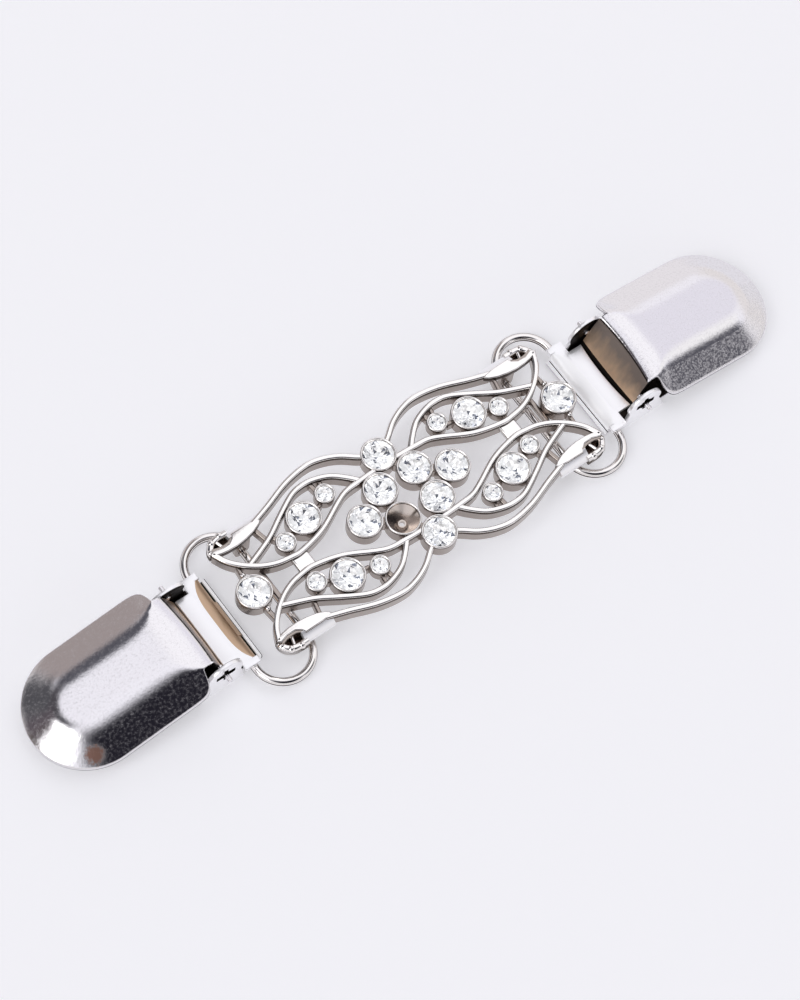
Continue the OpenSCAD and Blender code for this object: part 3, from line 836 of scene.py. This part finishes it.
def clip_base(side):
    """The folded sheet under a cover."""
    part = Shape()
    roll(part, side)
    base_floor(part, side)
    base_flap(part, side)
    base_ears(part, side)
    finish(part, "base", side)


def finish(part, kind, side):
    """Builds a part of a clip that was modelled for the right end. The left one is turned half round."""
    if side < 0:
        part.points = [Vector((-p.x, -p.y, p.z)) for p in part.points]
    name = f"{kind}_{SIDES[side]}"
    part.build(name, CLIP, name, ["clip_" + name], "plated_sheet", angle=40)


def rounded(start, corner, stop, parts):
    """Points along a rounded corner."""
    ts = [k / parts for k in range(parts + 1)]
    return [(1 - t) ** 2 * start + 2 * t * (1 - t) * corner + t * t * stop for t in ts]


def across(base, edge, rim, skirt, softness):
    """Points from the middle of the cover to its rim: flat top, soft edge, bevel and skirt."""
    base, edge, rim = Vector(base), Vector(edge), Vector(rim)
    inwards, outwards = edge - base, rim - edge
    start = edge - inwards.normalized() * min(softness, 0.6 * inwards.length)
    stop = edge + outwards.normalized() * min(softness, 0.45 * outwards.length)
    lip = min(0.25, 0.3 * outwards.length)
    near = rim - outwards.normalized() * lip
    down = rim - Vector((0, 0, skirt))
    row = [base.lerp(start, k / 4) for k in range(4)]
    row += rounded(start, edge, stop, 8)
    row += [stop.lerp(near, k / 4) for k in (1, 2, 3)]
    row += rounded(near, rim, rim - Vector((0, 0, min(lip, skirt))), 4)
    return row + [down + Vector((0, 0, 0.25 * skirt)), down]


NECK = [
    # Flat top u, half width, w, rim u, half width, w, skirt, softness
    (-0.6, 6.0, -3.2, -0.6, 6.15, -3.2, 0.02, 0.1),
    (-0.35, 6.0, -1.3, -0.35, 6.15, -1.3, 0.02, 0.1),
    (-0.1, 6.0, 0.6, -0.1, 6.15, 0.6, 0.02, 0.1),
    (0.18, 6.0, 1.8, 0.18, 6.15, 1.8, 0.02, 0.1),
    (0.42, 6.0, 2.78, 0.42, 6.15, 2.76, 0.02, 0.1),
    (0.62, 6.0, 3.12, 0.62, 6.15, 3.09, 0.03, 0.1),
    (0.95, 6.0, 3.32, 0.95, 6.15, 3.28, 0.05, 0.1),
    (1.6, 6.0, 3.54, 1.6, 6.15, 3.50, 0.08, 0.15),
    (2.3, 5.98, 3.72, 2.1, 6.2, 3.60, 0.15, 0.2),
    (2.7, 5.9, 3.80, 2.35, 6.5, 3.50, 0.3, 0.4),
    (3.3, 5.7, 3.89, 2.6, 7.4, 3.00, 0.5, 0.8),
    (4.0, 5.35, 4.05, 3.0, 8.45, 2.35, 0.6, 1.2),
    (5.0, 4.95, 4.16, 3.9, 9.1, 1.9, SKIRT, 1.6),
    (6.4, 4.7, FLAT_W, 5.4, 9.28, COVER_W, SKIRT, 2.0),
    (8.4, FLAT_HALF, FLAT_W, 8.0, COVER_HALF, COVER_W, SKIRT, 2.2),
    (13.0, FLAT_HALF, FLAT_W, 13.0, COVER_HALF, COVER_W, SKIRT, 2.2),
    (NOSE_U, FLAT_HALF, FLAT_W, NOSE_U, COVER_HALF, COVER_W, SKIRT, 2.2),
]
# Where the cam wall folds into the top, how high the wall is, and half the neck's width
FOLD_U, FOLD_W, NECK_H, NECK_HALF = 0.42, 2.77, 5.97, 6.1
# Up to where the cover is black inside with painted shade, from where it runs straight, and how far the
# fold's bow reaches
INSIDE_PAINTED_SHADE_END_U, STRAIGHT_U, BOW_REACH = 3.2, 1.9, 2.6
BOWS = {
    # Bow at the fold and at the foot, then shift and skew at the fold
    -1: (-0.3, -0.1, 0.45, 0.25),
    1: (0.45, -0.35, 0.5, 0.36),
}
NECK_PAINTED_SHADE = {
    # The cam wall has painted shade below the first w, and between the second and the third
    -1: (-9, 2.3, 3.05),
    1: (-2.35, 2.85, 3.1),
}
SPECKLED_STRIPS = range(2, 11)
NOSE_STEPS = 24


def neck_rows():
    """The rows of the cover's straight part, from its cam wall to where the nose begins."""
    rows = []
    last = len(NECK) - 1
    for i in range(last):
        four = NECK[max(0, i - 1)], NECK[i], NECK[i + 1], NECK[min(last, i + 2)]
        rows += [[between(*values, k / 4) for values in zip(*four)] for k in range(4)]
    return rows


def top_bow(row, side):
    """How a row of the neck bows, shifts and skews: most where the sheet folds from cam wall to top."""
    low = max(0, FOLD_W - row[2]) / NECK_H
    fade = max(0, 1 - (row[0] - FOLD_U) / BOW_REACH) if row[0] > FOLD_U else 1 - low
    fold_bow, foot_bow, shift, skew = BOWS[side]
    return fold_bow * fade + foot_bow * low, shift * fade, skew * fade


def neck_look(row, side):
    """The look of a row of the neck: a cam wall of tan painted reflection, with painted shade along its top
    and, on the right, at its foot.
    """
    foot, low, high = NECK_PAINTED_SHADE[side]
    if row[2] < foot or low < row[2] < high:
        return DARK
    return TAN if row[2] < 3 else SKIN


def clip_cover(side):
    """The pressed sheet over a base, with its two stubs. Rows run over half of it, as (u, v, w)."""
    rows = neck_rows()
    half = [across((r[0], 0, r[2]), r[0:3], r[3:6], r[6], r[7]) for r in rows]
    bows = [top_bow(r, side) for r in rows] + [(0, 0, 0)] * (NOSE_STEPS + 1)
    ahead = [Vector((1, 0, 0)) if r[0] > STRAIGHT_U else None for r in rows] + [None] * (NOSE_STEPS + 1)
    shares = [min(1, max(0, (r[6] - 0.05) / 0.1)) for r in rows] + [1] * NOSE_STEPS + [0]
    outside = [neck_look(r, side) for r in rows] + [SKIN] * (NOSE_STEPS + 1)
    for i in range(NOSE_STEPS + 1):
        a = math.radians(90 * i / NOSE_STEPS)
        s, c = math.sin(a), math.cos(a)
        half.append(across((NOSE_U, 0, FLAT_W), (NOSE_U + FLAT_HALF * s, FLAT_HALF * c, FLAT_W),
                           (NOSE_U + COVER_HALF * s, COVER_HALF * c, COVER_W), SKIRT, 2.2 - 0.7 * s))
    # Black painted shade inside the cover near the hinge
    inside = [DARK if line[0].x < INSIDE_PAINTED_SHADE_END_U else SKIN for line in half]
    full = [[Vector((p.x, -p.y, p.z)) for p in line[:0:-1]] + line for line in half]
    for line, (bow, shift, skew) in zip(full, bows):
        for p in line:
            p.x += bow * max(0, 1 - (p.y / NECK_HALF) ** 2) + shift + skew * side * p.y / NECK_HALF
    # Painted shade along the foot of the skirt on both sides
    strips = {0: DARK, len(full[0]) - 2: DARK}
    if side > 0:
        strips.update((m, SPECKLED) for m in SPECKLED_STRIPS)
    turn = at(PIVOT[0], 0, PIVOT[1]) @ Matrix.Rotation(SLOPE, 4, "Y")
    part = Shape().add(sheet_of(full, SHEET, outside, inside, shares, ahead, True, strips), turn)
    for sy in (-1, 1):
        end = NEAR_STUB_END if sy * side < 0 else STUB_END
        middle = at(PIVOT[0], sy * (STUB_START + end) / 2, PIVOT[1])
        part.add(rod(STUB_R, end - STUB_START), middle @ ALONG_Y)
    finish(part, "cover", side)


# Table, light and camera

TABLE_HALF = 1.5
AZIMUTH, ELEVATION, TWIST = -47.13, 64.73, 11.63
DISTANCE, SHIFT_RIGHT, SHIFT_UP, LENS = 488.43, -1.29, -1.12, 123.9
PATCHES = [
    # Direction, inner and outer half angle in degrees, colour, brightness
    ((0.96, 0.29, 0.03), 25, 38, (0.92, 0.89, 0.88), 1),
    ((0.33, 0.33, 0.88), 14, 24, (1.0, 1.0, 1.03), 1.14),
    ((0.60, -0.10, 0.79), 9, 17, (1.0, 1.0, 1.0), 1.08),
    ((0.66, 0.24, 0.71), 8, 16, (0.93, 0.92, 1.0), 1),
    ((-0.15, -0.58, 0.80), 15, 40, (0.018, 0.017, 0.025), 1),
    ((0.60, -0.52, 0.61), 14, 20, (0.10, 0.10, 0.12), 1),
    ((0.02, 0.62, 0.78), 11, 19, (0.10, 0.10, 0.12), 1),
    ((-0.45, 0.50, 0.74), 12, 19, (0.08, 0.075, 0.085), 1),
    ((-0.72, 0.46, 0.52), 14, 18, (0.12, 0.10, 0.115), 1),
    ((-0.42, 0.22, 0.88), 5, 10, (0.08, 0.08, 0.09), 1),
    ((0.05, 0.88, 0.38), 13, 25, (0.40, 0.35, 0.34), 1),
    ((0.52, 0.82, 0.22), 13, 21, (0.95, 0.93, 0.95), 1),
    ((-0.50, 0.75, 0.42), 10, 24, (0.09, 0.09, 0.10), 1),
    ((-0.74, 0.0, 0.67), 14, 19, (1.0, 1.0, 1.0), 3),
    ((-0.88, 0.29, 0.29), 6, 10, (0.12, 0.10, 0.09), 1),
]


def table():
    """The pale table under the clasp."""
    mesh = bpy.data.meshes.new("table")
    corners = [(-1, -1), (1, -1), (1, 1), (-1, 1)]
    mesh.from_pydata([(TABLE_HALF * x, TABLE_HALF * y, 0) for x, y in corners], [], [(0, 1, 2, 3)])
    obj = bpy.data.objects.new("table", mesh)
    mesh.materials.append(principled("paper", {
        "Base Color": (0.69, 0.69, 0.72, 1), "Roughness": 0.9, "Emission Color": (0.98, 0.975, 1, 1),
        "Emission Strength": 0.4})[0])
    bpy.context.scene.collection.objects.link(obj)


def sky():
    """Soft studio surroundings: pale all round, with dark and bright patches that the metal mirrors."""
    world = bpy.data.worlds.new("studio")
    bpy.context.scene.world = world
    tree = Tree(world)
    where = tree.add("TexCoord", {}).outputs["Generated"]
    height = tree.add("SeparateXYZ", {0: where}).outputs["Z"]

    def over(below, value, start, stop, tint):
        """Mixes a colour over the one below, more and more as a value runs from start to stop."""
        edge = tree.add("MapRange", {"Value": value, "From Min": start, "From Max": stop},
                        interpolation_type="SMOOTHSTEP")
        return tree.add("Mix", {"Factor": edge.outputs["Result"], "A": below, "B": (*tint, 1)},
                        data_type="RGBA").outputs["Result"]

    colour = over((0.10, 0.085, 0.08, 1), height, 0.03, 0.11, (0.92, 0.90, 0.90))
    colour = over(colour, height, 0.2, 0.55, (1.06, 1.06, 1.12))
    for direction, inner, outer, tint, power in PATCHES:
        facing = tree.add("VectorMath", {0: where, 1: Vector(direction).normalized()},
                          operation="DOT_PRODUCT")
        limits = [math.cos(math.radians(a)) for a in (outer, inner)]
        colour = over(colour, facing.outputs["Value"], *limits, [c * power for c in tint])
    tree.feed(tree.nodes["Background"], {"Color": colour, "Strength": 1.0})


def camera():
    """The camera of the photo. It looks down steeply from the near left, turned about its own axis."""
    az, el, turn = (math.radians(v) for v in (AZIMUTH, ELEVATION, TWIST))
    back = Vector((math.cos(el) * math.sin(az), -math.cos(el) * math.cos(az), math.sin(el)))
    level = Vector((math.cos(az), math.sin(az), 0))
    rise = back.cross(level)
    right = level * math.cos(turn) + rise * math.sin(turn)
    up = rise * math.cos(turn) - level * math.sin(turn)
    place = (back * DISTANCE + right * SHIFT_RIGHT + up * SHIFT_UP + Vector((0, 0, RIM_Z))) * MM
    data = bpy.data.cameras.new("camera")
    data.lens, data.sensor_width = LENS, 36
    data.clip_start, data.clip_end = 0.01, 10
    obj = bpy.data.objects.new("camera", data)
    obj.matrix_world = Matrix.Translation(place) @ Matrix((right, up, back)).transposed().to_4x4()
    bpy.context.scene.collection.objects.link(obj)
    bpy.context.scene.camera = obj


ornament()
stones()
for side in (-1, 1):
    wire_loop(side)
    clip_base(side)
    clip_cover(side)
table()
sky()
camera()
bpy.context.scene.view_settings.view_transform = "Standard"
